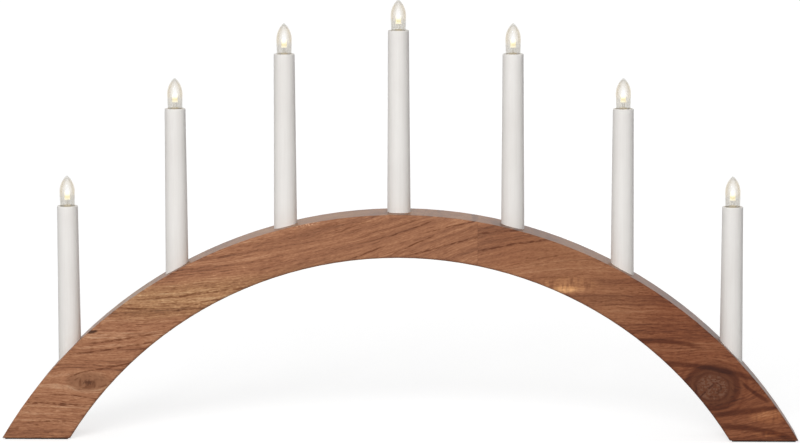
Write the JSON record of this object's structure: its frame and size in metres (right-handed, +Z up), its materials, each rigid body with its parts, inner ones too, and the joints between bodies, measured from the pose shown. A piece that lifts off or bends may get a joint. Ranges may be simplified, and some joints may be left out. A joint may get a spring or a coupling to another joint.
{
  "type": "candle arch",
  "caption": "Wooden bow standing on two feet that carries a row of white electric candles with clear screw-in flame bulbs.",
  "frame": {"origin": "on the table under the middle of the arch", "axes": "+X along the arch from foot to foot, +Y from the front to the back, +Z up"},
  "size_m": [0.7582, 0.05, 0.4185],
  "materials": {
    "oiled_wood": "oiled",
    "fibre_board": "hardboard",
    "zinc_screw": "zinc plated",
    "black_rubber": "matt",
    "felt": "felt",
    "wire_insulation": "satin",
    "white_plastic": "satin",
    "holder_plastic": "matt",
    "brass": "bright",
    "clear_globe": "clear",
    "led": "clear, lit warm white"
  },
  "bodies": {
    "arch": {"arch_body": "oiled_wood", "back_cover": "fibre_board", "cover_screws": "zinc_screw", "cord_grommet": "black_rubber", "foot_pad_left": "felt", "foot_pad_right": "felt", "link_wires": "wire_insulation", "feed_wire": "wire_insulation", "return_wire": "wire_insulation", "candle_tube_1": "white_plastic", "lamp_holder_1": "holder_plastic", "holder_shell_1": "brass", "candle_tube_2": "white_plastic", "lamp_holder_2": "holder_plastic", "holder_shell_2": "brass", "candle_tube_3": "white_plastic", "lamp_holder_3": "holder_plastic", "holder_shell_3": "brass", "candle_tube_4": "white_plastic", "lamp_holder_4": "holder_plastic", "holder_shell_4": "brass", "candle_tube_5": "white_plastic", "lamp_holder_5": "holder_plastic", "holder_shell_5": "brass", "candle_tube_6": "white_plastic", "lamp_holder_6": "holder_plastic", "holder_shell_6": "brass", "candle_tube_7": "white_plastic", "lamp_holder_7": "holder_plastic", "holder_shell_7": "brass"},
    "contact_1": {"contact_plunger_1": "brass"},
    "bulb_1": {"bulb_cap_1": "brass", "bulb_globe_1": "clear_globe", "bulb_led_1": "led"},
    "contact_2": {"contact_plunger_2": "brass"},
    "bulb_2": {"bulb_cap_2": "brass", "bulb_globe_2": "clear_globe", "bulb_led_2": "led"},
    "contact_3": {"contact_plunger_3": "brass"},
    "bulb_3": {"bulb_cap_3": "brass", "bulb_globe_3": "clear_globe", "bulb_led_3": "led"},
    "contact_4": {"contact_plunger_4": "brass"},
    "bulb_4": {"bulb_cap_4": "brass", "bulb_globe_4": "clear_globe", "bulb_led_4": "led"},
    "contact_5": {"contact_plunger_5": "brass"},
    "bulb_5": {"bulb_cap_5": "brass", "bulb_globe_5": "clear_globe", "bulb_led_5": "led"},
    "contact_6": {"contact_plunger_6": "brass"},
    "bulb_6": {"bulb_cap_6": "brass", "bulb_globe_6": "clear_globe", "bulb_led_6": "led"},
    "contact_7": {"contact_plunger_7": "brass"},
    "bulb_7": {"bulb_cap_7": "brass", "bulb_globe_7": "clear_globe", "bulb_led_7": "led"}
  },
  "joints": [
    {"name": "bulb_rise_1", "type": "slide", "parent": "arch", "child": "contact_1", "axis": [0, 0, 1], "range_m": [0, 0.00544]},
    {"name": "bulb_unscrew_1", "type": "hinge", "parent": "contact_1", "child": "bulb_1", "pos_m": [-0.316, 0, 0.22221], "axis": [0, 0, 1], "range_deg": [0, 1080]},
    {"name": "bulb_rise_2", "type": "slide", "parent": "arch", "child": "contact_2", "axis": [0, 0, 1], "range_m": [0, 0.00544]},
    {"name": "bulb_unscrew_2", "type": "hinge", "parent": "contact_2", "child": "bulb_2", "pos_m": [-0.212, 0, 0.31543], "axis": [0, 0, 1], "range_deg": [0, 1080]},
    {"name": "bulb_rise_3", "type": "slide", "parent": "arch", "child": "contact_3", "axis": [0, 0, 1], "range_m": [0, 0.00544]},
    {"name": "bulb_unscrew_3", "type": "hinge", "parent": "contact_3", "child": "bulb_3", "pos_m": [-0.108, 0, 0.36728], "axis": [0, 0, 1], "range_deg": [0, 1080]},
    {"name": "bulb_rise_4", "type": "slide", "parent": "arch", "child": "contact_4", "axis": [0, 0, 1], "range_m": [0, 0.00544]},
    {"name": "bulb_unscrew_4", "type": "hinge", "parent": "contact_4", "child": "bulb_4", "pos_m": [0, 0, 0.3896], "axis": [0, 0, 1], "range_deg": [0, 1080]},
    {"name": "bulb_rise_5", "type": "slide", "parent": "arch", "child": "contact_5", "axis": [0, 0, 1], "range_m": [0, 0.00544]},
    {"name": "bulb_unscrew_5", "type": "hinge", "parent": "contact_5", "child": "bulb_5", "pos_m": [0.108, 0, 0.36728], "axis": [0, 0, 1], "range_deg": [0, 1080]},
    {"name": "bulb_rise_6", "type": "slide", "parent": "arch", "child": "contact_6", "axis": [0, 0, 1], "range_m": [0, 0.00544]},
    {"name": "bulb_unscrew_6", "type": "hinge", "parent": "contact_6", "child": "bulb_6", "pos_m": [0.212, 0, 0.31543], "axis": [0, 0, 1], "range_deg": [0, 1080]},
    {"name": "bulb_rise_7", "type": "slide", "parent": "arch", "child": "contact_7", "axis": [0, 0, 1], "range_m": [0, 0.00544]},
    {"name": "bulb_unscrew_7", "type": "hinge", "parent": "contact_7", "child": "bulb_7", "pos_m": [0.316, 0, 0.22221], "axis": [0, 0, 1], "range_deg": [0, 1080]}
  ],
  "couplings": [
    {"joint": "bulb_rise_1", "follows": "bulb_unscrew_1", "m_per_rad": 0.00028871},
    {"joint": "bulb_rise_2", "follows": "bulb_unscrew_2", "m_per_rad": 0.00028871},
    {"joint": "bulb_rise_3", "follows": "bulb_unscrew_3", "m_per_rad": 0.00028871},
    {"joint": "bulb_rise_4", "follows": "bulb_unscrew_4", "m_per_rad": 0.00028871},
    {"joint": "bulb_rise_5", "follows": "bulb_unscrew_5", "m_per_rad": 0.00028871},
    {"joint": "bulb_rise_6", "follows": "bulb_unscrew_6", "m_per_rad": 0.00028871},
    {"joint": "bulb_rise_7", "follows": "bulb_unscrew_7", "m_per_rad": 0.00028871}
  ]
}
